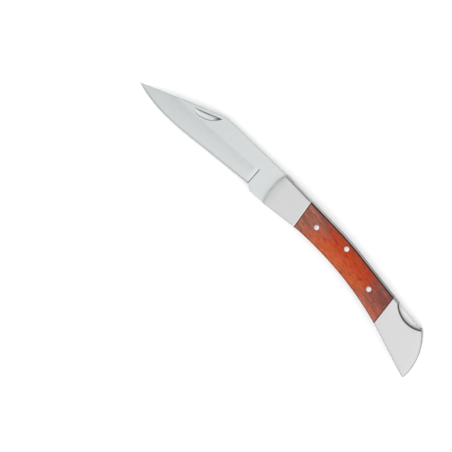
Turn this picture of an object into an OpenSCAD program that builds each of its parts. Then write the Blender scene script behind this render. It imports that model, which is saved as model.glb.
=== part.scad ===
// Folding grafting knife with a rocker lock bar along its spine.
// Origin: on the blade's pivot axis, in the plane the closed or open knife lies on.
// +X runs towards the butt, +Y towards the spine, +Z up through the handle's thickness.

/* [Handle] */
// Thickness over both bolsters
handle_t = 10.9; // [10.3:0.1:12]
// Thickness of each liner
liner_t = 0.9; // [0.7:0.05:1.1]
// Width of the well between the liners
well_w = 2.7; // [2.6:0.05:3]
// Radius of the thumb scallop over the lock bar
scallop_r = 11.8; // [11.6:0.1:12.4]

/* [Blade] */
// Thickness of the blade
blade_t = 2.4; // [2.2:0.05:2.5]
// Thickness left at the cutting edge
edge_t = 0.4; // [0.3:0.05:0.8]
// Height of the hollow grind
grind_w = 9.7; // [9:0.1:10.5]
// Radius of the wheel that ground the hollow
wheel_r = 60; // [40:5:150]
// Angle the blade folds through
fold_angle = 165.5; // [160:0.5:165.5]
// Radius of the tang's round hump
hump_r = 5.6; // [5.5:0.05:5.62]

/* [Lock bar] */
// Thickness of the lock bar
bar_t = 2.5; // [2.2:0.05:2.5]
// Angle from locked to just clear of the tang
lock_travel = 1.35; // [1.3:0.05:1.5]
// Thickness of the leaf spring
spring_t = 0.8; // [0.6:0.05:0.85]

/* [Pins] */
// Radius of the pins that show in the scales
pin_r = 1.2; // [1:0.05:1.25]
// Radius of the hidden blade pivot
pivot_r = 2; // [1.5:0.1:2.2]
// Radial play of a moving bore on its pin
play = 0.05; // [0.02:0.01:0.08]

/* [Hidden] */
$fn = 64;

eps = 0.01;
beyond = 120;
mid_z = handle_t / 2;
cover_t = (handle_t - well_w) / 2 - liner_t;
blade_z = mid_z - blade_t / 2;
bar_z = mid_z - bar_t / 2;
washer_play = 0.02;
washer_t = (well_w - blade_t) / 2 - washer_play;
washer_r = 4.2;
// Metal left over the end of a hidden pin
blind_skin = 1;

// Centres of the pins
rivet_at = [16, 1.6];
bar_pivot = [31.9, 3.95];
scale_pin_at = [50.9, -1.95];
spacer_pins = [[83.2, -6], [85.6, -15.4]];

// A quadratic and a cubic curve, as points
function quad(a, b, c, n = 8) =
    [for (i = [0:n]) let (t = i / n) (1 - t) * (1 - t) * a + 2 * t * (1 - t) * b + t * t * c];
function cubic(a, b, c, d, n = 14) =
    [for (i = [0:n]) let (t = i / n, u = 1 - t)
        u * u * u * a + 3 * u * u * t * b + 3 * u * t * t * c + t * t * t * d];

// Turns a point about the lock bar's pivot
function rock(p, a) =
    let (d = p - bar_pivot)
    bar_pivot + [d.x * cos(a) - d.y * sin(a), d.x * sin(a) + d.y * cos(a)];
function rock_all(points, a) = [for (p = points) rock(p, a)];

// Handle outline: spine, butt, belly and nose
spine_bends = concat(quad([24, 7.23], [30.85, 6.98], [38, 6]),
                     quad([55, 3.67], [60.5, 2.92], [66, 2.45]));
horn = quad([79.2, 1.35], [80.3, 1.25], [80.9, 0.55], 5);
butt = cubic([80.9, 0.55], [85.6, -4.2], [88.9, -10.5], [88.5, -18.6]);
beak = quad([88.5, -18.6], [88.4, -19.7], [87.3, -19.35], 5);
belly = cubic([64, -11.45], [49, -7], [34, -4.5], [13, -4.85]);
nose = cubic([-8.5, -7.05], [-10.2, -2], [-10.7, 4.5], [-9, 8.45]);
handle_points = concat(nose, spine_bends, horn, butt, beak, belly, [[8.6, -5.15]]);

// Thumb scallop in the back of the handle
scallop_at = [73.1, -0.95 + scallop_r];

// Joints between the bolsters and the scales
front_joint = [[6.65, 8.0], [8.6, -5.15]];
rear_joint = [[61.45, 2.85], [62.9, -11.1]];

// Lock bar, in the pose where its back lies flush with the handle
bar_back = concat([[-5.02, 8.3]], spine_bends, [[78.6, 1.25]], [[79.2, 0.7]]);
bar_heel = [[79.1, -1.3], [78.5, -1.8], [66, -0.3], [55, 1.1]];
// The rest of it, in the locked pose
bar_tooth = [[-2.35, 4.37], [-4.13, 4.37]];
bar_belly = [[42, 1.7], [36, 1.3], [28, 1.3], [20, 3], [9, 5.2], [4, 5.75], [-2.35, 5.75]];
bar_points = concat(rock_all(bar_back, -lock_travel / 2), rock_all(bar_heel, -lock_travel / 2),
                    rock_all(bar_belly, -lock_travel), rock_all(bar_tooth, -lock_travel));

// Blade outline, open: back, clip, edge, choil, kick and tang
blade_points = concat([[-5.3, 8.4]], quad([-43.4, 8.4], [-45.3, 8.45], [-47, 7.76], 5),
                      [[-83.3, -6.9]],
                      cubic([-83.3, -7], [-71, -10.9], [-58, -9.9], [-44, -8.3], 20),
                      quad([-18.9, -6.05], [-18, -5.95], [-17.4, -6.5], 4),
                      quad([-16.7, -7.2], [-16.2, -7.75], [-15.2, -7.65], 4),
                      [[-9, -7.2], [-6, -6.2], [-1.5, -5.1], [2, 0], [-4.13, 3.9]]);
grind_start = [-19.1, 1.75];
grind_tilt = 2.6;
grind_len = 70;
nick_at = [-52.5, 4.1];
nick_tilt = 21;
nick_len = 13.9;
nick_drop = 2.9;
nick_depth = 0.65;

// Notch in the tang that takes the bar's tooth, and the flat it meets when folded
tang_notch = [[-5.3, 8.4], [-4.13, 3.9], [-2.27, 3.9], [-2.27, 8.4]];
relief_angle = 127 - fold_angle;
relief_at = 4.8;
relief_w = 8;

// Rear spacer: clears the swing of the blade's tip, the folded edge and the pressed bar
tip_sweep = 84.3;
spacer_zone = [[70, -4.4], [79.7, -5.9], [79.7, 1.6], [92, 1.6], [92, -22], [78.5, -22],
               [78.5, -11.4], [76, -10.1], [70, -7.8]];
tip_zone = [[60, -11], [78.5, -11.4], [83.2, -13.4], [84.5, -22], [60, -22]];

// Leaf spring: a straight root in the spacer's slot, then an arc up to the bar
spring_root = [70, -6.06];
spring_tilt = -11;
spring_root_len = 9.4;
spring_bend_r = 27;
spring_arc = 31.5;
spring_steps = 12;
function spring_face(r) =
    [for (i = [0:spring_steps]) let (a = spring_arc * i / spring_steps)
        [-r * sin(a), spring_bend_r - r * cos(a)]];
function reversed(points) = [for (i = [len(points) - 1:-1:0]) points[i]];
spring_points = concat([[spring_root_len, 0]], spring_face(spring_bend_r),
                       reversed(spring_face(spring_bend_r + spring_t)),
                       [[spring_root_len, -spring_t]]);

module handle_outline() {
    difference() {
        polygon(handle_points);
        translate(scallop_at) circle(r = scallop_r, $fn = 96);
    }
}

// Everything behind (1) or ahead of (-1) a joint line
module beside(joint, side) {
    reach = (joint[1] - joint[0]) / 4;
    polygon([joint[0] - reach, joint[1] + reach,
             [side * beyond, -beyond], [side * beyond, beyond]]);
}

module pin_bores(points, r) {
    for (p = points) {
        translate([p.x, p.y, -eps]) cylinder(r = r, h = handle_t + 2 * eps);
    }
}

// Places a lower part at height z, or its mirror image at the same distance from the top
module on_side(left) {
    translate([0, 0, left ? handle_t : 0]) mirror([0, 0, left ? 1 : 0]) children();
}

module liner(left) {
    on_side(left) difference() {
        translate([0, 0, cover_t]) linear_extrude(liner_t) handle_outline();
        pin_bores([[0, 0]], pivot_r);
        pin_bores(concat([rivet_at, bar_pivot, scale_pin_at], spacer_pins), pin_r);
    }
}

module front_bolster(left) {
    on_side(left) difference() {
        linear_extrude(cover_t) difference() {
            handle_outline();
            beside(front_joint, 1);
        }
        translate([0, 0, blind_skin]) cylinder(r = pivot_r, h = cover_t);
    }
}

module scale(left) {
    on_side(left) difference() {
        linear_extrude(cover_t) difference() {
            handle_outline();
            beside(front_joint, -1);
            beside(rear_joint, 1);
        }
        pin_bores([rivet_at, bar_pivot, scale_pin_at], pin_r);
    }
}

module rear_bolster(left) {
    on_side(left) difference() {
        linear_extrude(cover_t) difference() {
            handle_outline();
            beside(rear_joint, -1);
        }
        for (p = spacer_pins) {
            translate([p.x, p.y, blind_skin]) cylinder(r = pin_r, h = cover_t);
        }
    }
}

module spring_shape() {
    translate(spring_root) rotate(spring_tilt) polygon(spring_points);
}

module rear_spacer() color("gainsboro") difference() {
    translate([0, 0, mid_z - well_w / 2]) linear_extrude(well_w) difference() {
        intersection() {
            handle_outline();
            polygon(spacer_zone);
        }
        intersection() {
            circle(r = tip_sweep, $fn = 180);
            polygon(tip_zone);
        }
        spring_shape();
    }
    pin_bores(spacer_pins, pin_r);
}

module lock_spring() color("slategray")
    translate([0, 0, bar_z]) linear_extrude(bar_t) spring_shape();

module lock_bar() color("silver") difference() {
    translate([0, 0, bar_z]) linear_extrude(bar_t) polygon(bar_points);
    pin_bores([bar_pivot], pin_r + play);
}

// One side of the hollow grind, cut from above the mid-plane
module hollow() {
    rise = (blade_t - edge_t) / 2;
    chord = sqrt(grind_w * grind_w + rise * rise);
    stand_off = sqrt(wheel_r * wheel_r - chord * chord / 4);
    axis_v = grind_w / 2 + stand_off * rise / chord;
    axis_z = (blade_t + edge_t) / 4 + stand_off * grind_w / chord;
    translate([grind_start.x, grind_start.y, 0]) rotate([0, 0, grind_tilt])
        translate([0, -axis_v, axis_z]) rotate([0, -90, 0])
            cylinder(r = wheel_r, h = grind_len, $fn = 200);
}

// Nail nick, cut by a disc that leans back from a straight upper wall
module nail_nick() {
    disc_r = (nick_len * nick_len / 4 + nick_depth * nick_depth) / (2 * nick_depth);
    lean = atan(nick_depth / nick_drop);
    translate([nick_at.x, nick_at.y, blade_t / 2]) rotate([0, 0, nick_tilt])
        rotate([90 - lean, 0, 0]) translate([0, disc_r - nick_depth, 0])
            cylinder(r = disc_r, h = 8, $fn = 180);
}

module blade() color("lightsteelblue") translate([0, 0, mid_z]) difference() {
    translate([0, 0, -blade_t / 2]) linear_extrude(blade_t) difference() {
        union() {
            polygon(blade_points);
            circle(r = hump_r, $fn = 96);
        }
        polygon(tang_notch);
        rotate(relief_angle) translate([relief_at, -relief_w / 2]) square(relief_w);
    }
    translate([0, 0, -blade_t]) cylinder(r = pivot_r + play, h = 2 * blade_t);
    hollow();
    mirror([0, 0, 1]) hollow();
    nail_nick();
}

module blade_pivot_pin() color("silver")
    translate([0, 0, blind_skin]) cylinder(r = pivot_r, h = handle_t - 2 * blind_skin);

module pivot_washer(left) {
    on_side(left) translate([0, 0, cover_t + liner_t]) difference() {
        cylinder(r = washer_r, h = washer_t);
        translate([0, 0, -eps]) cylinder(r = pivot_r, h = washer_t + 2 * eps);
    }
}

module through_pin(at) {
    translate([at.x, at.y, 0]) cylinder(r = pin_r, h = handle_t);
}

module short_rivet(left) {
    on_side(left) translate([rivet_at.x, rivet_at.y, 0]) cylinder(r = pin_r, h = cover_t + liner_t);
}

module blind_pin(at) {
    translate([at.x, at.y, blind_skin]) cylinder(r = pin_r, h = handle_t - 2 * blind_skin);
}

module liner_left() color("darkgray") liner(true);
module liner_right() color("darkgray") liner(false);
module front_bolster_left() color("lightgray") front_bolster(true);
module front_bolster_right() color("lightgray") front_bolster(false);
module scale_left() color("sienna") scale(true);
module scale_right() color("sienna") scale(false);
module rear_bolster_left() color("lightgray") rear_bolster(true);
module rear_bolster_right() color("lightgray") rear_bolster(false);
module pivot_washer_left() color("peru") pivot_washer(true);
module pivot_washer_right() color("peru") pivot_washer(false);
module lock_bar_pin() color("whitesmoke") through_pin(bar_pivot);
module front_rivet_left() color("whitesmoke") short_rivet(true);
module front_rivet_right() color("whitesmoke") short_rivet(false);
module rear_scale_pin() color("whitesmoke") through_pin(scale_pin_at);
module rear_bolster_pin_upper() color("whitesmoke") blind_pin(spacer_pins[0]);
module rear_bolster_pin_lower() color("whitesmoke") blind_pin(spacer_pins[1]);

liner_left();
liner_right();
front_bolster_left();
front_bolster_right();
scale_left();
scale_right();
rear_bolster_left();
rear_bolster_right();
rear_spacer();
lock_spring();
blade_pivot_pin();
pivot_washer_left();
pivot_washer_right();
lock_bar_pin();
front_rivet_left();
front_rivet_right();
rear_scale_pin();
rear_bolster_pin_upper();
rear_bolster_pin_lower();
lock_bar();
blade();
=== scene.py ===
"""Looks for the folding grafting knife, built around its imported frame.

Lengths are millimetres, which mesh_object() turns into metres, unless a comment says metres.
The knife lies on its side: +X to the butt, +Y to the spine, +Z to the nail-nick side.
"""

import math

import bmesh
import bpy
from mathutils import Matrix, Vector
from mathutils.geometry import delaunay_2d_cdt


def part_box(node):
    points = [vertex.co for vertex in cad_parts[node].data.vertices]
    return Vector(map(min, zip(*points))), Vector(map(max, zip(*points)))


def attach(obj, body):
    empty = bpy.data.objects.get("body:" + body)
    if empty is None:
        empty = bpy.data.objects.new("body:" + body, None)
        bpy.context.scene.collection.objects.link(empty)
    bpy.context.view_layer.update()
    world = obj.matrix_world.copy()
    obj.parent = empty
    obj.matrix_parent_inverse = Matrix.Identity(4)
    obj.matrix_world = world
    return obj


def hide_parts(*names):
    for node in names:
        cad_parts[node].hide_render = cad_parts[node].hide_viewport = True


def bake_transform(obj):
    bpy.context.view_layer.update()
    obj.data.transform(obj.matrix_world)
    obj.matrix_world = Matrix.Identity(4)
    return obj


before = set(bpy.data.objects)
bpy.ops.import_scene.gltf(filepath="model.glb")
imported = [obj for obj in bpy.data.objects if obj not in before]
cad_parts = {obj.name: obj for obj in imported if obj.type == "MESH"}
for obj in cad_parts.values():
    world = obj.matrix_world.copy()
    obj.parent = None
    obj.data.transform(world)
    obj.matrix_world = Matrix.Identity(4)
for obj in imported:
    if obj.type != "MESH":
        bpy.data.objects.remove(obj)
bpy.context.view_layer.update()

MM = 0.001
REPEAT_GAP = 0.02      # outline points closer than this are one point
HALVINGS = 40          # steps of the search for a crossing
WELD_GAP = 0.002       # mesh points closer than this are merged


# -------- the frame's own sizes

def box_mm(node):
    low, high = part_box(node)
    return low / MM, high / MM


COVER_INNER = box_mm("front_bolster_left")[0].z
COVER_OUTER = box_mm("front_bolster_left")[1].z
COVER_T = COVER_OUTER - COVER_INNER
BLADE_LOW, BLADE_HIGH = box_mm("blade")
BLADE_HALF = (BLADE_HIGH.z - BLADE_LOW.z) / 2
MID_Z = (BLADE_HIGH.z + BLADE_LOW.z) / 2


def node_centre(node):
    low, high = box_mm(node)
    return (low + high) / 2


PIN_R = (box_mm("rear_scale_pin")[1].x - box_mm("rear_scale_pin")[0].x) / 2
RIVET_AT = node_centre("front_rivet_left")
BAR_PIN_AT = node_centre("lock_bar_pin")
SCALE_PIN_AT = node_centre("rear_scale_pin")
PIVOT_R = (box_mm("blade_pivot_pin")[1].x - box_mm("blade_pivot_pin")[0].x) / 2


# -------- curves in the plane

def vec(x, y):
    return Vector((x, y))


def quad(a, b, c, n):
    a, b, c = Vector(a), Vector(b), Vector(c)
    steps = [i / n for i in range(n + 1)]
    return [(1 - t) ** 2 * a + 2 * t * (1 - t) * b + t * t * c for t in steps]


def cubic(a, b, c, d, n):
    a, b, c, d = Vector(a), Vector(b), Vector(c), Vector(d)
    points = []
    for i in range(n + 1):
        t = i / n
        u = 1 - t
        points.append(u ** 3 * a + 3 * u * u * t * b + 3 * u * t * t * c + t ** 3 * d)
    return points


def line(a, b, step):
    a, b = Vector(a), Vector(b)
    n = max(1, round((b - a).length / step))
    return [a.lerp(b, i / n) for i in range(n + 1)]


def tagged(points, tag):
    """Each point with the tag of the edge that starts there."""
    return [(p, tag) for p in points]


def tidy_loop(loop):
    """Drops points that repeat the one before."""
    out = []
    for p, tag in loop:
        if out and (p - out[-1][0]).length < REPEAT_GAP:
            out[-1] = (out[-1][0], tag)
        else:
            out.append((p, tag))
    if (out[0][0] - out[-1][0]).length < REPEAT_GAP:
        out.pop()
    return out


def area(points):
    total = 0
    for i, p in enumerate(points):
        q = points[(i + 1) % len(points)]
        total += p.x * q.y - q.x * p.y
    return total / 2


def turned_ccw(loop):
    """The same loop anticlockwise, with each edge's tag kept on its edge."""
    if area([p for p, _ in loop]) > 0:
        return loop
    n = len(loop)
    return [(loop[(n - i) % n][0], loop[(n - i - 1) % n][1]) for i in range(n)]


def crossing(a, b, side):
    """The point between a and b where side() changes sign."""
    lo, hi = a, b
    for _ in range(HALVINGS):
        mid = (lo + hi) / 2
        if (side(mid) > 0) == (side(a) > 0):
            lo = mid
        else:
            hi = mid
    return (lo + hi) / 2


def clipped(loop, side, tag, fill):
    """The part of the loop where side() > 0, closed along the cut by edges with this tag.

    fill() gives the points between the two ends of the cut."""
    out = []
    n = len(loop)
    for i in range(n):
        p, edge = loop[i]
        q = loop[(i + 1) % n][0]
        p_in, q_in = side(p) > 0, side(q) > 0
        if p_in:
            out.append((p, edge))
        if p_in and not q_in:
            leave = crossing(p, q, side)
            out.append((leave, tag))
            out.append("cut")
        if q_in and not p_in:
            out.append(("enter", crossing(p, q, side), edge))
    enter = next(x for x in out if x[0] == "enter")
    where = out.index("cut")
    leave = out[where - 1][0]
    between = [(p, tag) for p in fill(leave, enter[1])]
    order = out[where + 1:] + out[:where]
    order = [x for x in order if x[0] != "enter" or x is enter]
    start = order.index(enter)
    order[start] = (enter[1], enter[2])
    kept = order[start:] + order[:start]
    return tidy_loop(kept + between)


# -------- the handle's outline

SCALLOP_R = 11.8
SCALLOP_AT = vec(73.1, -0.95 + SCALLOP_R)
FRONT_JOINT = (vec(6.65, 8.0), vec(8.6, -5.15))
REAR_JOINT = (vec(61.45, 2.85), vec(62.9, -11.1))
SCALLOP_STEPS = 40
OUTLINE_STEP = 1.5
JOINT_STEP = 1.0
JOINT_GAP = 0.02


def scallop_fill(leave, enter):
    """Points along the scallop's arc, between the places where it meets the outline."""
    a0, a1 = (math.atan2(d.y, d.x) for d in (leave - SCALLOP_AT, enter - SCALLOP_AT))
    angles = [a0 + (a1 - a0) * i / SCALLOP_STEPS for i in range(1, SCALLOP_STEPS)]
    return [SCALLOP_AT + SCALLOP_R * vec(math.cos(a), math.sin(a)) for a in angles]


def handle_loop():
    """The whole handle, clockwise from the bottom of the nose."""
    nose = cubic((-8.5, -7.05), (-10.2, -2), (-10.7, 4.5), (-9, 8.45), 36)
    spine = (line((-9, 8.45), (24, 7.23), OUTLINE_STEP)
             + quad((24, 7.23), (30.85, 6.98), (38, 6), 16)
             + line((38, 6), (55, 3.67), OUTLINE_STEP)
             + quad((55, 3.67), (60.5, 2.92), (66, 2.45), 16)
             + line((66, 2.45), (79.2, 1.35), OUTLINE_STEP))
    horn = quad((79.2, 1.35), (80.3, 1.25), (80.9, 0.55), 10)
    butt = cubic((80.9, 0.55), (85.6, -4.2), (88.9, -10.5), (88.5, -18.6), 44)
    beak = quad((88.5, -18.6), (88.4, -19.7), (87.3, -19.35), 12)
    belly = (line((87.3, -19.35), (64, -11.45), OUTLINE_STEP)
             + cubic((64, -11.45), (49, -7), (34, -4.5), (13, -4.85), 44)
             + quad((13, -4.85), (10.8, -4.9), (8.6, -5.15), 6)
             + line((8.6, -5.15), (-8.5, -7.05), OUTLINE_STEP))
    loop = (tagged(nose, "nose") + tagged(spine, "spine") + tagged(horn, "horn")
            + tagged(butt, "butt") + tagged(beak, "beak") + tagged(belly, "belly"))
    return tidy_loop(loop)


def joint_fill(leave, enter):
    """Points along a straight joint, without its ends."""
    return line(leave, enter, JOINT_STEP)[1:-1]


def outside_scallop(p):
    """Positive outside the scallop's circle."""
    return (p - SCALLOP_AT).length - SCALLOP_R


def beside(joint, sign):
    """Positive on the butt side (sign 1) or the nose side (sign -1), clear of a joint line."""
    a, b = joint
    across = left_of(a, b)
    return lambda p: sign * (p - a).dot(across) - JOINT_GAP


# -------- mesh helpers

SHARP_TURN = 0.5       # sine of the turn from which a corner is moved to its edges' crossing
UNFOLD_PASSES = 6
HEX_ROW = 0.866
CIRCLE_SIDES = 48
CDT_INSIDE = 1         # keep only the triangles inside the outline
CDT_GAP = 1e-5


def left_of(a, b):
    """The unit vector to the left of the way from a to b."""
    d = (b - a).normalized()
    return vec(-d.y, d.x)


def inset(points, widths):
    """Moves each edge of an anticlockwise loop inwards by its own width."""
    n = len(points)
    out = []
    for i in range(n):
        p, before, after = points[i], points[i - 1], points[(i + 1) % n]
        n1, n2 = left_of(before, p), left_of(p, after)
        w1, w2 = widths[i - 1], widths[i]
        det = n1.x * n2.y - n1.y * n2.x
        if abs(det) < SHARP_TURN:
            mean = (n1 + n2).normalized()
            out.append(p + mean * (w1 + w2) / 2 / mean.dot(n1))
        else:
            a, b = n1.dot(p) + w1, n2.dot(p) + w2
            out.append(vec((a * n2.y - b * n1.y) / det, (n1.x * b - n2.x * a) / det))
    for _ in range(UNFOLD_PASSES):
        for i in range(n):
            j = (i + 1) % n
            if (out[j] - out[i]).dot(points[j] - points[i]) < 0:
                out[i] = out[j] = (out[i] + out[j]) / 2
    return out


def inside(p, points):
    """True if p is inside the polygon."""
    hit = False
    n = len(points)
    x, y = p[0], p[1]
    for i in range(n):
        a, b = points[i], points[i - 1]
        if (a[1] > y) != (b[1] > y) and x < (b[0] - a[0]) * (y - a[1]) / (b[1] - a[1]) + a[0]:
            hit = not hit
    return hit


def clear_of(p, points, gap):
    """True if p is further than gap from every point."""
    return min((p - q).length_squared for q in points) > gap * gap


def circle_points(at, r, n=CIRCLE_SIDES):
    return [vec(at.x + r * math.cos(2 * math.pi * i / n), at.y + r * math.sin(2 * math.pi * i / n))
            for i in range(n)]


def hex_points(outline, pitch, margin):
    """Evenly spread points inside an outline, kept clear of its edge."""
    low_x, high_x = min(p.x for p in outline), max(p.x for p in outline)
    low_y, high_y = min(p.y for p in outline), max(p.y for p in outline)
    found = []
    rows = int((high_y - low_y) / (pitch * HEX_ROW)) + 1
    for j in range(rows):
        y = low_y + (j + 0.5) * pitch * HEX_ROW
        x = low_x + (0.25 if j % 2 else 0.75) * pitch
        while x < high_x:
            p = vec(x, y)
            if inside(p, outline):
                found.append(p)
            x += pitch
    return [p for p in found if clear_of(p, outline, margin)]


def triangulate(outline, holes=(), lines=(), loose=()):
    """Triangles that fill an outline less its holes, with lines and loose points inside it.

    Returns the points, outline first, then each hole's, then the rest, and the triangles."""
    points, edges = [], []

    def add(chain, closed):
        start = len(points)
        points.extend(chain)
        count = len(chain)
        for i in range(count if closed else count - 1):
            edges.append((start + i, start + (i + 1) % count))

    add(outline, True)
    for hole in holes:
        add(hole, True)
    for chain in lines:
        add(chain, False)
    points.extend(loose)
    out, _, faces, sources, _, _ = delaunay_2d_cdt(points, edges, [], CDT_INSIDE, CDT_GAP)
    places = []
    for p, source in zip(out, sources):
        places.append(source[0] if source else len(points))
        if not source:
            points.append(p)
    kept = []
    for f in faces:
        c = sum((out[i] for i in f), vec(0, 0)) / len(f)
        if not any(inside(c, h) for h in holes):
            kept.append([places[i] for i in f])
    return points, kept


def mesh_object(name, verts, faces, body, material, sharp_angle=28, shade=None):
    """A closed mesh from millimetre points; edges sharper than sharp_angle stay crisp.

    shade gives each point how much painted shade its surface gets, or painted highlight below 0."""
    bm = bmesh.new()
    # A vertex value: painted shade above 0, painted highlight below 0.
    shade_layer = bm.verts.layers.float.new("painted_light")
    made = [bm.verts.new(Vector(v) * MM) for v in verts]
    for v, value in zip(made, shade or []):
        v[shade_layer] = value
    for f in faces:
        if len(set(f)) > 2:
            try:
                bm.faces.new([made[i] for i in f])
            except ValueError:
                pass
    bmesh.ops.remove_doubles(bm, verts=bm.verts, dist=WELD_GAP * MM)
    bmesh.ops.delete(bm, geom=[v for v in bm.verts if not v.link_faces], context="VERTS")
    bmesh.ops.recalc_face_normals(bm, faces=bm.faces)
    for f in bm.faces:
        f.smooth = True
    for e in bm.edges:
        if len(e.link_faces) == 2:
            e.smooth = e.calc_face_angle(0) < math.radians(sharp_angle)
        else:
            e.smooth = False
    mesh = bpy.data.meshes.new(name)
    bm.to_mesh(mesh)
    bm.free()
    obj = bpy.data.objects.new(name, mesh)
    bpy.context.scene.collection.objects.link(obj)
    mesh.materials.append(material)
    even = obj.modifiers.new("even_normals", "WEIGHTED_NORMAL")
    even.keep_sharp = True
    if body:
        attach(obj, body)
    return obj


def ring_faces(a, b, count):
    """Quads between two rings of the same length whose points start at a and b."""
    return [(a + i, a + (i + 1) % count, b + (i + 1) % count, b + i) for i in range(count)]


# -------- covers: bolsters and scales

# Each kind of edge: how far its rounding reaches in, how far it drops, and the painted shade
# on its wall (2 is a near-black painted shadow).
EDGE_FORMS = {"nose": (0.95, 0.13, 0.0), "spine": (0.38, 0.45, 1.0), "horn": (0.4, 0.45, 1.0),
              "butt": (0.5, 0.45, 0.75), "beak": (0.4, 0.4, 0.5), "belly": (0.5, 0.45, 0.35),
              "scallop": (0.5, 0.5, 2.0), "joint": (0.0, 0.45, 0.0)}
EDGE_STEPS = 7
EDGE_BOW = 0.06
EDGE_EASE = 0.4        # share of a wall's painted shade that is gone at the inner end of its rounding
# How far inside an edge's rounding its painted shade has faded out.
SHADE_FADE = 0.3
SHADE_FADES = {"joint": 0.5, "beak": 0.1}
CORNER_GAP = 0.8
CROWN_DROP = 0.1
CROWN_W = 3.5
SINK_EXTRA = 0.11      # a pin hole's countersink is this much wider than its pin, in radius
HOLE_PLAY = 0.015
SINK_DEPTH = 0.13
FACE_PITCH = 1.1
FACE_MARGIN = 0.5
JOINT_BEVEL = 0.12
JOINT_BEVEL_ZONE = 0.3    # depth below the outer face where a joint's edges are looked for
JOINT_BEVEL_MIN = 0.3     # shorter edges are left sharp
ON_JOINT = 0.004


def rounding(turn, chamfered):
    """Reach and drop, as fractions, at a step of an edge's profile from the wall to the face.

    The profile is a quarter circle, or a slightly bowed chamfer."""
    if not chamfered:
        return 1 - math.cos(turn * math.pi / 2), 1 - math.sin(turn * math.pi / 2)
    bow = EDGE_BOW * math.sin(turn * math.pi)
    return turn - bow, 1 - turn - bow


def crown(p, free_edge):
    """How far the face falls towards the free edges, beyond their rounding."""
    d = math.sqrt(min((p - q).length_squared for q in free_edge))
    t = max(0.0, 1 - d / CROWN_W)
    return CROWN_DROP * t * t


def near_corners(loop, gap):
    """Adds a point close to each corner with a joint, to keep the joint's painted light by it."""
    out = []
    count = len(loop)
    for i, (p, tag) in enumerate(loop):
        out.append((p, tag))
        q, next_tag = loop[(i + 1) % count]
        if tag == "joint" or (q - p).length < 2 * gap:
            continue
        if loop[i - 1][1] == "joint":
            out.append((p.lerp(q, gap / (q - p).length), tag))
        if next_tag == "joint":
            out.append((q.lerp(p, gap / (q - p).length), tag))
    return out


def cover(name, node, loop, sunk, material, joint_shade, holes=()):
    """A slab over one liner with rounded free edges, plain joints and countersunk pin holes."""
    low, high = box_mm(node)
    left = low.z > MID_Z
    loop = near_corners(turned_ccw(loop), CORNER_GAP)
    loop = [(vec(min(max(p.x, low.x), high.x), min(max(p.y, low.y), high.y)), tag)
            for p, tag in loop]
    points = [p for p, _ in loop]
    forms = [EDGE_FORMS[tag] for _, tag in loop]
    chamfered = [tag == "nose" for _, tag in loop]
    count = len(points)
    top = COVER_T - sunk
    drops = [(forms[i - 1][1] + forms[i][1]) / 2 for i in range(count)]
    # Each wall's painted shade, or the front bolster joint's painted highlight, fading out across
    # the face.
    darks = [joint_shade if tag == "joint" else form[2] for form, (_, tag) in zip(forms, loop)]
    walls = [max(darks[i - 1], darks[i], key=abs) for i in range(count)]
    by_joint = [loop[i][1] == "joint" and loop[i - 1][1] == "joint" for i in range(count)]
    free = [p for i, p in enumerate(points) if not by_joint[i]]
    crests = [crown(p, free) if by_joint[i] else CROWN_DROP for i, p in enumerate(points)]
    verts = [(p.x, p.y, 0) for p in points]
    shade = list(walls)
    faces = []
    for k in range(EDGE_STEPS + 1):
        steps = [rounding(k / EDGE_STEPS, flat) for flat in chamfered]
        ring = inset(points, [form[0] * step[0] for form, step in zip(forms, steps)])
        start = len(verts)
        for i, p in enumerate(ring):
            fall = (steps[i - 1][1] + steps[i][1]) / 2
            verts.append((p.x, p.y, top - crests[i] - drops[i] * fall))
            ease = 0.0 if by_joint[i] else EDGE_EASE
            shade.append(walls[i] * (1 - ease * k / EDGE_STEPS))
        faces += ring_faces(start - count, start, count)
    rim_free = [p for p, (_, tag) in zip(ring, loop) if tag != "joint"]
    fades = [SHADE_FADES.get(tag, SHADE_FADE) for _, tag in loop]
    rim = inset(points, [form[0] + fade for form, fade in zip(forms, fades)])
    start = len(verts)
    verts += [(p.x, p.y, top - crown(p, rim_free)) for p in rim]
    shade += [0.0] * count
    faces += ring_faces(start - count, start, count)
    sink_r, hole_r = PIN_R + SINK_EXTRA, PIN_R + HOLE_PLAY
    mouths = [circle_points(at, sink_r) for at in holes]
    spread = [p for p in hex_points(rim, FACE_PITCH, FACE_MARGIN)
              if all((p - vec(at.x, at.y)).length > sink_r + FACE_MARGIN for at in holes)]
    flat, tris = triangulate(rim, mouths, loose=spread)
    base = len(verts)
    verts += [(p.x, p.y, top - crown(p, rim_free)) for p in flat]
    shade += [0.0] * len(flat)
    faces += [tuple(base + i for i in f) for f in tris]
    mouth_at = base + count
    sides = CIRCLE_SIDES
    for at in holes:
        lip = verts[mouth_at:mouth_at + sides]
        bore = circle_points(at, hole_r)
        throat = len(verts)
        verts += [(p.x, p.y, z - SINK_DEPTH) for (_, _, z), p in zip(lip, bore)]
        foot = len(verts)
        verts += [(p.x, p.y, 0) for p in bore]
        # Painted shade down the pin hole's countersink and bore.
        shade += [1.0] * (2 * sides)
        faces += ring_faces(mouth_at, throat, sides) + ring_faces(throat, foot, sides)
        mouth_at += sides
    flat, tris = triangulate(points, [circle_points(at, hole_r) for at in holes])
    base = len(verts)
    verts += [(p.x, p.y, 0) for p in flat]
    # Painted shade on the underside too.
    shade += walls + [1.0] * (len(flat) - count)
    faces += [tuple(base + i for i in reversed(f)) for f in tris]
    placed = [(x, y, COVER_INNER + z if left else 2 * MID_Z - COVER_INNER - z) for x, y, z in verts]
    obj = mesh_object(name, placed, faces, "handle", material, shade=shade)
    soften_joint_edges(obj, [(points[i], points[(i + 1) % count])
                             for i in range(count) if loop[i][1] == "joint"])
    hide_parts(node)


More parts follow.
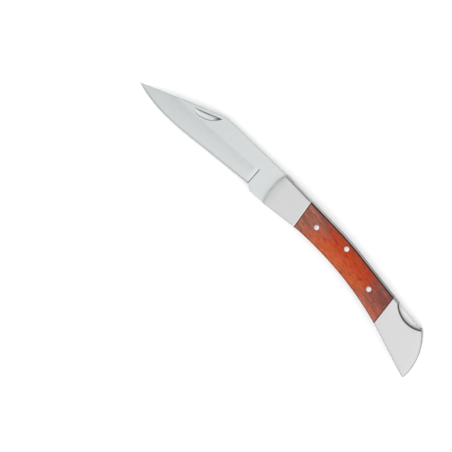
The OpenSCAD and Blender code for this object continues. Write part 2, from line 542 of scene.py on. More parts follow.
def soften_joint_edges(obj, joints):
    """A small bevel where the flat face meets the wall of a joint."""
    mesh = obj.data
    weights = mesh.attributes.new("bevel_weight_edge", "FLOAT", "EDGE")
    outer = max(abs(v.co.z / MM - MID_Z) for v in mesh.vertices)
    for e in mesh.edges:
        a, b = (mesh.vertices[i].co / MM for i in e.vertices)
        deep = min(abs(a.z - MID_Z), abs(b.z - MID_Z)) < outer - JOINT_BEVEL_ZONE
        if deep or (a - b).length < JOINT_BEVEL_MIN:
            continue
        for s, t in joints:
            across = left_of(s, t)
            if all(abs((vec(p.x, p.y) - s).dot(across)) < ON_JOINT for p in (a, b)):
                weights.data[e.index].value = 1.0
    bevel = obj.modifiers.new("joint_edge", "BEVEL")
    bevel.limit_method = "WEIGHT"
    bevel.width = JOINT_BEVEL * MM
    bevel.segments = 2
    obj.modifiers.move(len(obj.modifiers) - 1, 0)


# -------- pins

PIN_DOME = 0.07
PIN_RIM = 0.05
PIN_SHARP = 50


def pin_end(z, inward, domed):
    """An end's profile from the middle out; inward is 1 or -1, the way into the pin along Z."""
    r, dome, rim = PIN_R, inward * PIN_DOME, inward * PIN_RIM
    if not domed:
        return [(0.0, z), (r - PIN_RIM, z), (r, z + rim)]
    return [(0.0, z), (r * 0.35, z + dome * 0.12), (r * 0.65, z + dome * 0.42),
            (r - PIN_RIM, z + dome), (r - PIN_RIM * 0.3, z + dome + rim * 0.4),
            (r, z + dome + rim)]


def pin(name, node, at, dome_low, dome_high, material):
    """A turned pin; an end that shows is slightly domed, and a hidden one is flat."""
    z_low, z_high = (corner.z for corner in box_mm(node))
    profile = pin_end(z_high, -1, dome_high) + [(PIN_R, (z_low + z_high) / 2)]
    profile += reversed(pin_end(z_low, 1, dome_low))
    n = CIRCLE_SIDES
    verts = [(at.x, at.y, profile[0][1])]
    for radius, z in profile[1:-1]:
        verts += [(p.x, p.y, z) for p in circle_points(at, radius)]
    verts.append((at.x, at.y, profile[-1][1]))
    faces = [(0, 1 + i, 1 + (i + 1) % n) for i in range(n)]
    last = 1 + (len(profile) - 3) * n
    for start in range(1, last, n):
        faces += ring_faces(start, start + n, n)
    faces += [(last + i, len(verts) - 1, last + (i + 1) % n) for i in range(n)]
    obj = mesh_object(name, verts, faces, "handle", material, PIN_SHARP)
    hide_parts(node)


# -------- lock spring

SPRING_ROOT = vec(70, -6.06)
SPRING_TILT = math.radians(-11)
SPRING_ROOT_LEN = 9.4
SPRING_BEND_R = 27.0
SPRING_ARC = math.radians(31.5)
SPRING_T = 0.8
SPRING_CHAMFER = 0.07
SPRING_ROOT_STEPS = 8
SPRING_ARC_STEPS = 40
SPRING_SHARP = 30


def spring_edge(offset):
    """One face of the leaf, root first: a straight root, then an arc up to the bar."""
    r = SPRING_BEND_R + offset
    local = [vec(SPRING_ROOT_LEN * (1 - i / SPRING_ROOT_STEPS), -offset)
             for i in range(SPRING_ROOT_STEPS)]
    angles = [SPRING_ARC * i / SPRING_ARC_STEPS for i in range(SPRING_ARC_STEPS + 1)]
    local += [vec(-r * math.sin(a), SPRING_BEND_R - r * math.cos(a)) for a in angles]
    c, s = math.cos(SPRING_TILT), math.sin(SPRING_TILT)
    return [SPRING_ROOT + vec(p.x * c - p.y * s, p.x * s + p.y * c) for p in local]


def spring_leaf(material):
    """The leaf spring: a straight root, then an arc up to the lock bar."""
    low, high = box_mm("lock_spring")
    upper, lower = spring_edge(0.0), spring_edge(SPRING_T)
    points = upper + list(reversed(lower))
    count, half = len(points), len(upper)
    narrow = inset(points, [SPRING_CHAMFER] * count)
    levels = ((narrow, low.z), (points, low.z + SPRING_CHAMFER),
              (points, high.z - SPRING_CHAMFER), (narrow, high.z))
    verts = [(p.x, p.y, z) for ring, z in levels for p in ring]
    faces = []
    for k in range(3):
        faces += ring_faces(k * count, (k + 1) * count, count)
    for base in (0, 3 * count):
        for i in range(half - 1):
            faces.append((base + i, base + i + 1, base + count - 2 - i, base + count - 1 - i))
    obj = mesh_object("lock_spring_leaf", verts, faces, None, material,
                      SPRING_SHARP)
    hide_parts("lock_spring")
    middle = spring_edge(SPRING_T / 2)
    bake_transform(obj)


# -------- blade

HUMP_R = 5.6
RELIEF_DIR = math.radians(127 - 165.5)
RELIEF_AT = 4.8
TANG_LOW_END = math.radians(-101)
NOTCH_FRONT, NOTCH_REAR = -4.13, -2.27
NOTCH_FLOOR = 3.9
PIVOT_PLAY = 0.05
BLADE_TIP = vec(-83.3, -6.93)
BLADE_INSETS = {"spine": 0.13, "edge": 0.8, "choil": 0.12, "tang": 0.08}
TIP_TAPER = 4.0        # length over which the cutting edge's bevel narrows to the tip
RIM_HALF = 0.03        # half thickness of the cutting edge, and the least anywhere on the rim
# Painted shade on the blade's rim bevels, all but the cutting edge.
RIM_SHADE = 0.3
BLADE_PITCH = 0.8
BLADE_MARGIN = 0.35
LINE_MARGIN = 0.3
BLADE_SHARP = 11

GRIND_AT = vec(-19.1, 1.75)
GRIND_TILT = math.radians(2.6)
GRIND_W = 9.7
EDGE_T = 0.4
WHEEL_R = 60.0
GRIND_SOFT = 0.05      # how softly the hollow meets the flat
PLUNGE_W = 0.45
GROOVE_DEPTH, GROOVE_AT, GROOVE_W = 0.16, 0.3, 0.9
GROOVE_REACH = 3.0
GROOVE_TOP = 0.5       # above the grind line
GROOVE_FULL, GROOVE_FADE = 2.5, 5.0
# Where the plunge line gets painted shade: distances past the plunge, and its reach above the grind
# line.
PLUNGE_DARK = (0.05, 0.4)
PLUNGE_DARK_TOP = 0.6
# Distances past the plunge, and below the grind line, where the mesh has lines of points.
PLUNGE_LINES = (0.0, 0.1, 0.2, 0.32, 0.45, 0.8, 1.3)
GRIND_LINES = (-0.35, 0.0, 0.35, 0.7)
# The first point, the step and the number of points of such a line, and its margin to the rim.
PLUNGE_CHAIN = (-0.6, 0.35, 25, 0.12)
GRIND_CHAIN = (1.6, 0.6, 100, 0.15)
CHAIN_BREAK = 0.9
PIVOT_MARGIN = 0.5
# Grind lines above the first of these stay the third from a point this far tipwards of NICK_AT.
NICK_CLEAR_ABOVE, NICK_CLEAR_SHIFT, NICK_CLEAR = 0.35, 2, 6

NICK_AT = vec(-52.5, 4.1)
NICK_TILT = math.radians(21)
NICK_HALF = 6.95
NICK_DROP = 2.9
NICK_DEPTH = 0.32
NICK_LIP = 0.08
NICK_WALL = 0.16
NICK_STEP = 0.93
NICK_SPANS = 48
NICK_ENDS = (2.0, 2.7)     # powers of the nick's outline towards the tang and towards the tip
# Where the painted shade at the nick's rear end begins, and over how much of it it grows.
NICK_REAR_FROM, NICK_REAR_FADE = 0.45, 0.3
NICK_EPS = 0.001
# Painted shade (above 0) or painted highlight (below 0) at each share of the nick's drop;
# the mesh has a line of points at each of them.
NICK_SHADES = {0.0: 0.0, 0.03: 1.0, NICK_WALL: 1.0, 0.22: -0.3, 0.55: -0.75, 0.85: -0.75,
               0.9: 0.9, NICK_STEP: 0.9, 0.98: 0.7, 1.0: 0.0}


def hump_arc(start, sweep, n):
    """Points on the tang's round hump."""
    angles = [start + sweep * i / n for i in range(n + 1)]
    return [HUMP_R * vec(math.cos(a), math.sin(a)) for a in angles]


def hump_parts():
    """The hump above and below its relief flat, each clockwise."""
    start = math.atan2(math.sqrt(HUMP_R ** 2 - NOTCH_REAR ** 2), NOTCH_REAR)
    half = math.acos(RELIEF_AT / HUMP_R)
    upper = hump_arc(start, RELIEF_DIR + half - start, 40)
    lower = hump_arc(RELIEF_DIR - half, TANG_LOW_END - RELIEF_DIR + half, 10)
    return upper, lower


def blade_loop():
    """The blade's outline, anticlockwise, with each edge tagged by its kind."""
    upper, lower = hump_parts()
    tip = BLADE_TIP
    spine = (line((-5.3, 8.4), (-43.4, 8.4), 1.0)
             + quad((-43.4, 8.4), (-45.3, 8.45), (-47, 7.76), 10))
    clip = line((-47, 7.76), tip, 0.8)
    edge = (cubic(tip, (-71, -10.9), (-58, -9.9), (-44, -8.3), 60)
            + line((-44, -8.3), (-18.9, -6.05), 0.8))
    choil = (quad((-18.9, -6.05), (-18, -5.95), (-17.4, -6.5), 8)
             + quad((-16.7, -7.2), (-16.2, -7.75), (-15.2, -7.65), 8))
    root = (line((-15.2, -7.65), (-9, -7.2), 1) + line((-9, -7.2), (-6, -6.2), 1)
            + line((-6, -6.2), lower[-1], 1))
    notch = (line((NOTCH_REAR, upper[0].y), (NOTCH_REAR, NOTCH_FLOOR), 0.4)
             + line((NOTCH_REAR, NOTCH_FLOOR), (NOTCH_FRONT, NOTCH_FLOOR), 0.4))
    heel = line((NOTCH_FRONT, NOTCH_FLOOR), (-5.3, 8.4), 0.6)
    tang = root + lower[::-1] + upper[::-1] + notch + heel
    return turned_ccw(tidy_loop(tagged(spine + clip, "spine") + tagged(edge, "edge")
                                + tagged(choil, "choil") + tagged(tang, "tang")))


def grind_frame(p):
    """Distance past the plunge (towards the tip) and below the grind line."""
    d = p - GRIND_AT
    past = -(d.x * math.cos(GRIND_TILT) + d.y * math.sin(GRIND_TILT))
    below = d.x * math.sin(GRIND_TILT) - d.y * math.cos(GRIND_TILT)
    return past, below


def hollow_half(below):
    """Half thickness of the wheel-ground hollow at a distance below the grind line."""
    rise = BLADE_HALF - EDGE_T / 2
    chord = math.hypot(GRIND_W, rise)
    stand_off = math.sqrt(WHEEL_R ** 2 - chord ** 2 / 4)
    axis_v = GRIND_W / 2 + stand_off * rise / chord
    axis_z = (BLADE_HALF + EDGE_T / 2) / 2 + stand_off * GRIND_W / chord
    return axis_z - math.sqrt(WHEEL_R ** 2 - (below - axis_v) ** 2)


def plunge_groove(past, below):
    """Extra depth where the wheel's corner bit in beside the plunge line."""
    if below < -GROOVE_TOP or past > GROOVE_REACH:
        return 0.0
    fade = (min(1.0, (below + GROOVE_TOP) / GROOVE_TOP)
            * max(0.0, 1 - max(0.0, below - GROOVE_FULL) / GROOVE_FADE))
    return GROOVE_DEPTH * fade * math.exp(-((past - GROOVE_AT) / GROOVE_W) ** 2)


def blade_half(p):
    """Half thickness of the blade at a point of its plan, without the nick."""
    past, below = grind_frame(p)
    if past <= 0:
        return BLADE_HALF
    ground = hollow_half(below)
    ground = -GRIND_SOFT * math.log(math.exp(-ground / GRIND_SOFT)
                                    + math.exp(-BLADE_HALF / GRIND_SOFT))
    ground = min(ground, BLADE_HALF) - plunge_groove(past, below)
    if past < PLUNGE_W:
        return ground + (BLADE_HALF - ground) * (1 - past / PLUNGE_W) ** 2
    return ground


def nick_reach(along):
    """Share of the nick's full drop at a distance along it; the end towards the tip is fuller."""
    t = abs(along) / NICK_HALF
    return 1 - t ** (NICK_ENDS[0] if along > 0 else NICK_ENDS[1])


def nick_place(p):
    """The nick's reach at p, p's share of the drop and p's place along it, or None outside it."""
    d = p - NICK_AT
    along = d.x * math.cos(NICK_TILT) + d.y * math.sin(NICK_TILT)
    below = d.x * math.sin(NICK_TILT) - d.y * math.cos(NICK_TILT)
    if abs(along) >= NICK_HALF or below < -NICK_EPS:
        return None
    reach = nick_reach(along)
    share = max(0.0, below) / (NICK_DROP * reach)
    return (reach, share, along) if share < 1 + NICK_EPS else None


def nick_painted_light(p):
    """Painted shade on the nick's wall, its rear end and its lower lip; a painted highlight on its
    floor.
    """
    place = nick_place(p)
    if place is None or place[1] > 1 - NICK_EPS:
        return 0.0
    _, share, along = place
    nearest = min(NICK_SHADES, key=lambda level: abs(level - share))
    rear = min(1.0, max(0.0, (along - NICK_REAR_FROM * NICK_HALF) / (NICK_REAR_FADE * NICK_HALF)))
    here = NICK_SHADES[nearest]
    return max(here, rear) if rear > 0.1 and share > 0.01 else here


def plunge_painted_shade(p):
    """Painted shade along the plunge line, the crease where the hollow grind starts."""
    past, below = grind_frame(p)
    if not PLUNGE_DARK[0] < past < PLUNGE_DARK[1] or below < -PLUNGE_DARK_TOP:
        return 0.0
    return min(1.0, (below + PLUNGE_DARK_TOP) / 0.5) * min(1.0, max(0.25, 1.2 - below / 5))


def nick_depth(p):
    """Depth of the nail nick: a steep wall, a floor that rises from it and a small step out."""
    place = nick_place(p)
    if place is None:
        return 0.0
    reach, share, _ = place
    if share >= 1:
        return 0.0
    deep = NICK_DEPTH * math.sqrt(reach)
    if share < NICK_WALL:
        return deep * share / NICK_WALL
    if share > NICK_STEP:
        return NICK_LIP * (1 - share) / (1 - NICK_STEP)
    return deep + (NICK_LIP - deep) * (share - NICK_WALL) / (NICK_STEP - NICK_WALL)


def nick_line(share):
    """A line along the nick at a share of its drop."""
    out = []
    for i in range(NICK_SPANS + 1):
        along = -NICK_HALF * math.cos(math.pi * i / NICK_SPANS)
        below = share * NICK_DROP * nick_reach(along)
        out.append(NICK_AT + vec(along * math.cos(NICK_TILT) + below * math.sin(NICK_TILT),
                                 along * math.sin(NICK_TILT) - below * math.cos(NICK_TILT)))
    return out


def grind_point(past, below):
    """The point of the blade's plan that grind_frame() gives these two distances for."""
    c, s = math.cos(GRIND_TILT), math.sin(GRIND_TILT)
    return GRIND_AT + vec(-past * c + below * s, -past * s - below * c)


def blade_insets(loop):
    """Bevel widths round the blade; the cutting edge's bevel narrows towards the tip."""
    widths = []
    for i, (p, tag) in enumerate(loop):
        q = loop[(i + 1) % len(loop)][0]
        width = BLADE_INSETS[tag]
        if tag == "edge":
            share = min(1.0, ((p + q) / 2 - BLADE_TIP).length / TIP_TAPER)
            width = BLADE_INSETS["spine"] + (width - BLADE_INSETS["spine"]) * share
        widths.append(width)
    return widths


def split_chain(chain, gap):
    """Cuts a chain of points wherever two neighbours are further apart than gap."""
    parts = [[]]
    for p in chain:
        if parts[-1] and (p - parts[-1][-1]).length > gap:
            parts.append([])
        parts[-1].append(p)
    return [part for part in parts if len(part) > 1]


def plunge_chain(past, rim):
    """Points down the blade at a distance past the plunge."""
    start, step, number, margin = PLUNGE_CHAIN
    chain = [grind_point(past, start + step * i) for i in range(number)]
    return [p for p in chain if inside(p, rim) and clear_of(p, rim, margin)]


def grind_chains(below, rim):
    """Points along the blade at a distance below the grind line, kept off the nick."""
    start, step, number, margin = GRIND_CHAIN
    chain = [grind_point(start + step * i, below) for i in range(number)]
    chain = [p for p in chain if inside(p, rim) and clear_of(p, rim, margin)]
    if below < NICK_CLEAR_ABOVE:
        chain = [p for p in chain if nick_depth(p) == 0
                 and abs(p.x - NICK_AT.x + NICK_CLEAR_SHIFT) > NICK_CLEAR]
    return split_chain(chain, CHAIN_BREAK)


def blade(material):
    """Both sides of the blade, joined round the outline and through the pivot's bore."""
    loop = blade_loop()
    points = [p for p, _ in loop]
    rim = inset(points, blade_insets(loop))
    count = len(points)
    ground_lines = [plunge_chain(past, rim) for past in PLUNGE_LINES]
    ground_lines += [chain for below in GRIND_LINES for chain in grind_chains(below, rim)]
    nick_lines = [nick_line(share) for share in NICK_SHADES]
    pivot = circle_points(vec(0, 0), PIVOT_R + PIVOT_PLAY, 64)
    taken = [p for chain in ground_lines + nick_lines for p in chain]
    loose = [p for p in hex_points(rim, BLADE_PITCH, BLADE_MARGIN)
             if p.length > PIVOT_R + PIVOT_MARGIN and clear_of(p, taken, LINE_MARGIN)]
    verts, faces, shade = [], [], []
    for sign in (1, -1):
        nicked = sign > 0
        flat, tris = triangulate(rim, [pivot], ground_lines + (nick_lines if nicked else []), loose)
        start = len(verts)
        for p in flat:
            depth = nick_depth(p) if nicked else 0.0
            verts.append((p.x, p.y, MID_Z + sign * (blade_half(p) - depth)))
            # Painted shade along the plunge line and in the nick; a painted highlight on the nick's
            # floor.
            shade.append(plunge_painted_shade(p) + (nick_painted_light(p) if nicked else 0.0))
        faces += [tuple(start + i for i in (f if nicked else reversed(f))) for f in tris]
        lip = len(verts)
        for (p, tag), q in zip(loop, rim):
            keen = tag == "edge"
            half = RIM_HALF if keen else max(RIM_HALF, blade_half(q) - BLADE_INSETS[tag])
            verts.append((p.x, p.y, MID_Z + sign * half))
            shade.append(0.0 if keen else RIM_SHADE)
        faces += ring_faces(lip, start, count)
        if nicked:
            first_lip, first_hole = lip, start + count
        else:
            faces += ring_faces(first_lip, lip, count)
            faces += ring_faces(first_hole, start + count, len(pivot))
    obj = mesh_object("blade_body", verts, faces, "blade", material,
                      BLADE_SHARP, shade)
    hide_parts("blade")


# -------- materials

NOISE_SPAN = (0.3, 0.7)
# A near-black painted shadow, used in the scallop's recess.
PAINTED_SHADOW_BLACK = (0.03, 0.03, 0.03)
# Ranges of the painted light value over which a metal turns to its painted wall shade,
# to a near-black painted shadow and to its painted highlight.
WALL_SPAN, BLACK_SPAN, BRIGHT_SPAN = (0.25, 1.0), (1.05, 1.6), (-0.05, -0.9)


def new_material(name):
    m = bpy.data.materials.new(name)
    m.use_nodes = True
    tree = m.node_tree
    shader = next(n for n in tree.nodes if n.type == "BSDF_PRINCIPLED")
    return m, tree, shader


def coords(tree, sizes, turn=0.0):
    """Object coordinates turned about Z, and scaled so that one unit is these millimetres."""
    tc = tree.nodes.new("ShaderNodeTexCoord")
    mapping = tree.nodes.new("ShaderNodeMapping")
    mapping.vector_type = "TEXTURE"
    mapping.inputs["Rotation"].default_value = (0, 0, turn)
    mapping.inputs["Scale"].default_value = tuple(size * MM for size in sizes)
    tree.links.new(tc.outputs["Object"], mapping.inputs["Vector"])
    return mapping.outputs["Vector"]


def noise(tree, vector, detail, rough, distortion=0.0):
    """Noise of one unit's size; most of its values are inside NOISE_SPAN."""
    n = tree.nodes.new("ShaderNodeTexNoise")
    n.inputs["Scale"].default_value = 1.0
    n.inputs["Detail"].default_value = detail
    n.inputs["Roughness"].default_value = rough
    n.inputs["Distortion"].default_value = distortion
    tree.links.new(vector, n.inputs["Vector"])
    return n.outputs["Fac"]


def remap(tree, value, a, b, lo, hi):
    n = tree.nodes.new("ShaderNodeMapRange")
    for key, v in (("From Min", a), ("From Max", b), ("To Min", lo), ("To Max", hi)):
        n.inputs[key].default_value = v
    tree.links.new(value, n.inputs["Value"])
    return n.outputs["Result"]


def across_noise(tree, value, lo, hi):
    """Noise stretched from NOISE_SPAN to lo..hi."""
    return remap(tree, value, *NOISE_SPAN, lo, hi)


def math_node(tree, operation, a, b):
    n = tree.nodes.new("ShaderNodeMath")
    n.operation = operation
    for socket, value in zip(n.inputs, (a, b)):
        if isinstance(value, (int, float)):
            socket.default_value = value
        else:
            tree.links.new(value, socket)
    return n.outputs["Value"]


def add(tree, first, *others):
    """The sum of several values, added from the left."""
    for other in others:
        first = math_node(tree, "ADD", first, other)
    return first


def mix_color(tree, factor, a, b):
    n = tree.nodes.new("ShaderNodeMix")
    n.data_type = "RGBA"
    sockets = {s.identifier: s for s in n.inputs}
    pairs = (("Factor_Float", factor), ("A_Color", a), ("B_Color", b))
    for key, value in pairs:
        if isinstance(value, (int, float)):
            sockets[key].default_value = value
        elif isinstance(value, tuple):
            sockets[key].default_value = (*value, 1.0)
        else:
            tree.links.new(value, sockets[key])
    return next(s for s in n.outputs if s.identifier == "Result_Color")


def bump(tree, height, distance, strength=1.0, below=None):
    n = tree.nodes.new("ShaderNodeBump")
    n.inputs["Strength"].default_value = strength
    n.inputs["Distance"].default_value = distance
    tree.links.new(height, n.inputs["Height"])
    if below is not None:
        tree.links.new(below, n.inputs["Normal"])
    return n.outputs["Normal"]


# Reads the vertex value of painted shade, or painted highlight below 0.
def painted_light(tree):
    n = tree.nodes.new("ShaderNodeAttribute")
    n.attribute_name = "painted_light"
    return n.outputs["Fac"]


def brushed(name, dark, light, rough, line_turn, line_pitch, depth, length=14.0, blotch=5.0,
            painted_wall_shade=None, painted_highlight=None):
    """Metal with fine brush lines at an angle and broad soft patches.

    Its wall colour is painted shade on walls and cut edges, where the painted light value is above
    0, and its bright colour a painted highlight, where that value is below 0. Well above 1 the
    painted shade turns near black, a painted shadow."""
    m, tree, shader = new_material(name)
    fine = noise(tree, coords(tree, (length, line_pitch, line_pitch), line_turn), 4, 0.6)
    broad = noise(tree, coords(tree, (length * 2, line_pitch * 9, 1), line_turn), 2, 0.5)
    patch = noise(tree, coords(tree, (blotch,) * 3), 2, 0.5)
    mottle = add(tree, across_noise(tree, broad, 0.0, 0.15), across_noise(tree, patch, 0.0, 0.35))
    colour = mix_color(tree, add(tree, across_noise(tree, fine, 0.0, 0.5), mottle), dark, light)
    for span, edge_colour in ((WALL_SPAN, painted_wall_shade), (BLACK_SPAN, painted_wall_shade and PAINTED_SHADOW_BLACK),
                              (BRIGHT_SPAN, painted_highlight)):
        if edge_colour:
            share = remap(tree, painted_light(tree), *span, 0.0, 1.0)
            colour = mix_color(tree, share, colour, edge_colour)
    tree.links.new(colour, shader.inputs["Base Color"])
    shader.inputs["Metallic"].default_value = 1.0
    spread = add(tree, across_noise(tree, fine, rough - 0.05, rough + 0.05),
                 across_noise(tree, patch, -0.02, 0.03))
    tree.links.new(spread, shader.inputs["Roughness"])
    tree.links.new(bump(tree, fine, depth * MM, 1.0, bump(tree, broad, depth * 2 * MM, 0.6)),
                   shader.inputs["Normal"])
    return m


GRAIN_SLOPE = math.radians(-11)
# Roughly the scale's spine edge, in object metres: y = SCALE_RISE + SCALE_BOW * x * x.
SCALE_BOW, SCALE_RISE = -1.75, 0.0082
STREAK_SPAN = (0.36, 0.64)
# Pairs are the colours of the darker and the lighter streaks.
HEART = ((0.33, 0.026, 0.004), (0.44, 0.047, 0.008))
HEART_LOW, HEART_HIGH = (0.41, 0.098, 0.036), (0.27, 0.038, 0.014)
FRONT_END = ((0.19, 0.06, 0.042), (0.295, 0.11, 0.074))
REAR_END = ((0.15, 0.046, 0.035), (0.24, 0.08, 0.06))
REAR_LOW = (0.39, 0.13, 0.085)
# The last colour is painted shade on the wood's walls, rounded edges and joints.
PORE, FLECK, WOOD_PAINTED_SHADE = (0.1, 0.018, 0.011), (0.08, 0.012, 0.008), (0.025, 0.01, 0.008)


def wood_noises(tree):
    """The grain's noises by name, each from its size along, across and through the grain."""
    noises = {}
    for name, sizes, detail, rough, distortion in (
            ("fibre", (5, 0.2, 0.3), 4, 0.65, 0.3), ("grain", (6, 0.6, 0.9), 5, 0.7, 0.7),
            ("streak", (30, 2.4, 3.0), 3, 0.55, 0.6), ("pore", (1.9, 0.26, 0.35), 2, 0.6, 0.0),
            ("fleck", (2.7, 0.68, 0.7), 2, 0.6, 0.0), ("coarse", (2.6, 0.45, 0.6), 3, 0.65, 0.4)):
        noises[name] = noise(tree, coords(tree, sizes, GRAIN_SLOPE), detail, rough, distortion)
    return noises


def wood_ground(tree, grain, streak):
    """The wood's colours without its fine grain: an orange heart and purple-brown ends.

    Places and heights here are in metres."""
    warp = noise(tree, coords(tree, (26, 7, 7)), 2, 0.5)
    tc = tree.nodes.new("ShaderNodeTexCoord")
    split = tree.nodes.new("ShaderNodeSeparateXYZ")
    tree.links.new(tc.outputs["Object"], split.inputs["Vector"])
    x, y = split.outputs["X"], split.outputs["Y"]
    chord = math_node(tree, "MULTIPLY", math_node(tree, "MULTIPLY", x, x), SCALE_BOW)
    height = math_node(tree, "SUBTRACT", y, add(tree, chord, SCALE_RISE))
    streaks = remap(tree, streak, *STREAK_SPAN, 0.0, 1.0)
    heart = mix_color(tree, streaks, *HEART)
    heart = mix_color(tree, remap(tree, height, -0.0035, -0.0105, 0.0, 0.75), heart, HEART_LOW)
    heart = mix_color(tree, remap(tree, height, -0.0055, -0.0005, 0.0, 0.85), heart, HEART_HIGH)
    front_end = mix_color(tree, streaks, *FRONT_END)
    rear_end = mix_color(tree, streaks, *REAR_END)
    rear_low = remap(tree, height, -0.008, -0.0125, 0.0, 1.0)
    rear_end = mix_color(tree, rear_low, rear_end, REAR_LOW)
    sway = across_noise(tree, warp, -0.006, 0.006)
    drift = across_noise(tree, grain, -0.002, 0.002)
    slant = math_node(tree, "MULTIPLY", y, 0.9)
    ahead = math_node(tree, "SUBTRACT", add(tree, x, sway, drift), slant)
    front = remap(tree, ahead, 0.011, 0.021, 1.0, 0.0)
    behind = add(tree, drift, x, math_node(tree, "MULTIPLY", sway, 0.3))
    back = remap(tree, behind, 0.0475, 0.0525, 0.0, 1.0)
    swayed = add(tree, height, math_node(tree, "MULTIPLY", sway, 0.5))
    low = remap(tree, swayed, -0.005, -0.012, 0.0, 0.4)
    back = math_node(tree, "MULTIPLY", back, math_node(tree, "SUBTRACT", 1.0, low))
    return mix_color(tree, back, mix_color(tree, front, heart, front_end), rear_end)


def wood_material():
    """Oiled orange-red hardwood: fine streaked grain, dark pores, purple-brown ends and painted
    shade on its walls, edges and joints.
    """
    m, tree, shader = new_material("scale_wood")
    wood = wood_noises(tree)
    fibre, grain, pore = wood["fibre"], wood["grain"], wood["pore"]
    finer = add(tree, across_noise(tree, fibre, 0.1, -0.14),
                remap(tree, wood["coarse"], 0.32, 0.68, 0.22, -0.26))
    scaled = tree.nodes.new("ShaderNodeVectorMath")
    scaled.operation = "SCALE"
    tree.links.new(wood_ground(tree, grain, wood["streak"]), scaled.inputs["Vector"])
    tree.links.new(add(tree, across_noise(tree, grain, 1.13, 0.77), finer), scaled.inputs["Scale"])
    colour = scaled.outputs["Vector"]
    for value, span, most, mark in ((pore, (0.6, 0.74), 0.6, PORE),
                                    (wood["fleck"], (0.65, 0.7), 0.9, FLECK),
                                    (painted_light(tree), (0.1, 0.5), 0.96, WOOD_PAINTED_SHADE)):
        colour = mix_color(tree, remap(tree, value, *span, 0.0, most), colour, mark)
    tree.links.new(colour, shader.inputs["Base Color"])
    tree.links.new(across_noise(tree, grain, 0.42, 0.56), shader.inputs["Roughness"])
    # A constant, because the export drops a linked specular level.
    shader.inputs["Specular IOR Level"].default_value = 0.08
    pores = math_node(tree, "MULTIPLY", remap(tree, pore, 0.55, 0.75, 0.0, 1.0), -1.0)
    tree.links.new(bump(tree, pores, 0.05 * MM, 0.7, bump(tree, fibre, 0.03 * MM, 0.5)),
                   shader.inputs["Normal"])
    return m


# -------- stage

FLOOR_PATCH = 1000 / 9
FLOOR_HALF = 2.0       # metres
FLOOR_DROP = 0.02


def stage():
    """A pale floor just below the knife."""
    m, tree, shader = new_material("floor_paper")
    shade = noise(tree, coords(tree, (FLOOR_PATCH,) * 3), 2, 0.5)
    paper = mix_color(tree, shade, (0.93, 0.93, 0.93), (0.96, 0.96, 0.96))
    tree.links.new(paper, shader.inputs["Base Color"])
    shader.inputs["Roughness"].default_value = 0.9
    bm = bmesh.new()
    bmesh.ops.create_grid(bm, x_segments=8, y_segments=8, size=FLOOR_HALF)
    mesh = bpy.data.meshes.new("floor")
    bm.to_mesh(mesh)
    bm.free()
    floor = bpy.data.objects.new("floor", mesh)
    floor.location.z = -FLOOR_DROP * MM
    bpy.context.scene.collection.objects.link(floor)
    mesh.materials.append(m)


def area_light(name, place, aim, size, power):
    """A round light, in metres and watts, that the camera doesn't see."""
    data = bpy.data.lights.new(name, "AREA")
    data.shape = "DISK"
    data.size = size
    data.energy = power
    obj = bpy.data.objects.new(name, data)
    obj.location = place
    obj.rotation_euler = (Vector(aim) - Vector(place)).to_track_quat("-Z", "Y").to_euler()
    obj.visible_camera = False
    bpy.context.scene.collection.objects.link(obj)


def lights():
    """Even light from all round, and one large soft disc overhead."""
    world = bpy.data.worlds.new("studio")
    bpy.context.scene.world = world
    world.use_nodes = True
    back = world.node_tree.nodes["Background"]
    back.inputs["Color"].default_value = (0.98, 0.99, 1.0, 1)
    back.inputs["Strength"].default_value = 1.2
    area_light("overhead", (0.5, -0.1, 0.85), (0.0, 0.0, 0.0), 1.45, 4.9)


CAMERA_TILT = math.radians(6.0)
CAMERA_DISTANCE = 2.5  # metres, as is the next
FIELD_WIDTH = 0.1965
SENSOR = 36
CLIP_END = 10
CAMERA_AIM = (-12.7, -25.4)
IMAGE_UP = Vector((-0.6934, 0.7206, 0))


def camera():
    """The photograph's view: from above, and a little from the spine's side."""
    data = bpy.data.cameras.new("photo_view")
    data.sensor_width = SENSOR
    data.lens = SENSOR * CAMERA_DISTANCE / FIELD_WIDTH
    data.clip_end = CLIP_END
    obj = bpy.data.objects.new("photo_view", data)
    back = Vector((0, math.sin(CAMERA_TILT), math.cos(CAMERA_TILT)))
    right = IMAGE_UP.cross(back).normalized()
    up = back.cross(right)
    target = Vector((*CAMERA_AIM, COVER_OUTER)) * MM
    turn = Matrix((right, up, back)).transposed().to_4x4()
    obj.matrix_world = Matrix.Translation(target + back * CAMERA_DISTANCE) @ turn
    bpy.context.scene.collection.objects.link(obj)
    bpy.context.scene.camera = obj


# -------- build

SCALE_SUNK = 0.06      # the scales' faces are this much lower than the bolsters'
CAD_BEVEL_ANGLE = math.radians(32)
# Painted light along the joints with the scales: a painted highlight on the front bolster,
# painted shade on the rear bolster and the scales.
FRONT_JOINT_SHADE, REAR_JOINT_SHADE, SCALE_JOINT_SHADE = -1.0, 0.4, 1.0


def dress_cad(node, material, bevel_w):
    """A CAD node that stays: welded, softly bevelled and given its material."""
    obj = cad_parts[node]
    obj.data.materials.clear()
    obj.data.materials.append(material)
    weld = obj.modifiers.new("weld", "WELD")
    weld.merge_threshold = WELD_GAP * MM
    bevel = obj.modifiers.new("bevel", "BEVEL")
    bevel.width = bevel_w * MM
    bevel.segments = 2
    bevel.limit_method = "ANGLE"
    bevel.angle_limit = CAD_BEVEL_ANGLE
    even = obj.modifiers.new("even_normals", "WEIGHTED_NORMAL")
    even.keep_sharp = True


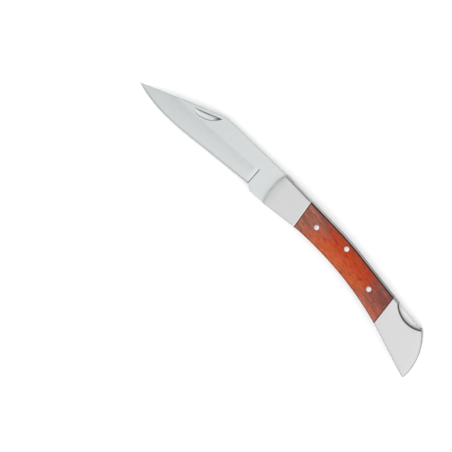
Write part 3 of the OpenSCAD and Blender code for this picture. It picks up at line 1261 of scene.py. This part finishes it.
def build():
    """Every visible piece, and the finish of the CAD nodes that stay."""
    # Wall colours are painted shade on walls and cut edges; bright colours are painted highlights.
    bolster = brushed("bolster_steel", (0.354, 0.352, 0.353), (0.4, 0.397, 0.4), 0.33, 0.0, 0.09,
                      0.003, painted_wall_shade=(0.115, 0.115, 0.11), painted_highlight=(0.56, 0.53, 0.46))
    blade_steel = brushed("blade_steel", (0.35, 0.363, 0.36), (0.4, 0.415, 0.412), 0.28,
                          math.radians(88), 0.09, 0.003, 9.0, 7.0, painted_wall_shade=(0.08, 0.09, 0.09),
                          painted_highlight=(0.53, 0.54, 0.53))
    liner = brushed("liner_steel", (0.33, 0.325, 0.315), (0.41, 0.405, 0.39), 0.42, 0.0, 0.1, 0.005)
    spring = brushed("spring_steel", (0.44, 0.435, 0.425), (0.52, 0.51, 0.5), 0.36, 0.0, 0.1, 0.006)
    pin_metal = brushed("pin_nickel_silver", (0.395, 0.365, 0.35), (0.455, 0.42, 0.4), 0.28, 0.6,
                        0.2, 0.003, 3.0, 1.5)
    bronze = brushed("washer_bronze", (0.42, 0.25, 0.11), (0.6, 0.38, 0.18), 0.42, 0.0, 0.15, 0.004)
    wood = wood_material()

    handle = clipped(handle_loop(), outside_scallop, "scallop", scallop_fill)
    front = clipped(handle, beside(FRONT_JOINT, -1), "joint", joint_fill)
    rear = clipped(handle, beside(REAR_JOINT, 1), "joint", joint_fill)
    behind = clipped(handle, beside(FRONT_JOINT, 1), "joint", joint_fill)
    middle = clipped(behind, beside(REAR_JOINT, -1), "joint", joint_fill)
    for side in ("left", "right"):
        left = side == "left"
        for node, loop, joint_shade in (("front_bolster_" + side, front, FRONT_JOINT_SHADE),
                                        ("rear_bolster_" + side, rear, REAR_JOINT_SHADE)):
            cover(node + "_shell", node, loop, 0.0, bolster, joint_shade)
        cover("scale_" + side + "_slab", "scale_" + side, middle, SCALE_SUNK, wood,
              SCALE_JOINT_SHADE, (RIVET_AT, BAR_PIN_AT, SCALE_PIN_AT))
        rivet = "front_rivet_" + side
        pin(rivet + "_head", rivet, RIVET_AT, not left, left, pin_metal)
    for node, at in (("lock_bar_pin", BAR_PIN_AT), ("rear_scale_pin", SCALE_PIN_AT)):
        pin(node + "_turned", node, at, True, True, pin_metal)
    blade(blade_steel)
    spring_leaf(spring)
    for nodes, material, bevel_w in (
            (("liner_left", "liner_right"), liner, 0.06),
            (("rear_spacer", "lock_bar"), spring, 0.12),
            (("pivot_washer_left", "pivot_washer_right"), bronze, 0.02),
            (("blade_pivot_pin", "rear_bolster_pin_upper", "rear_bolster_pin_lower"),
             pin_metal, 0.08)):
        for node in nodes:
            dress_cad(node, material, bevel_w)


bpy.context.scene.view_settings.view_transform = "Standard"
camera()
lights()
stage()
build()
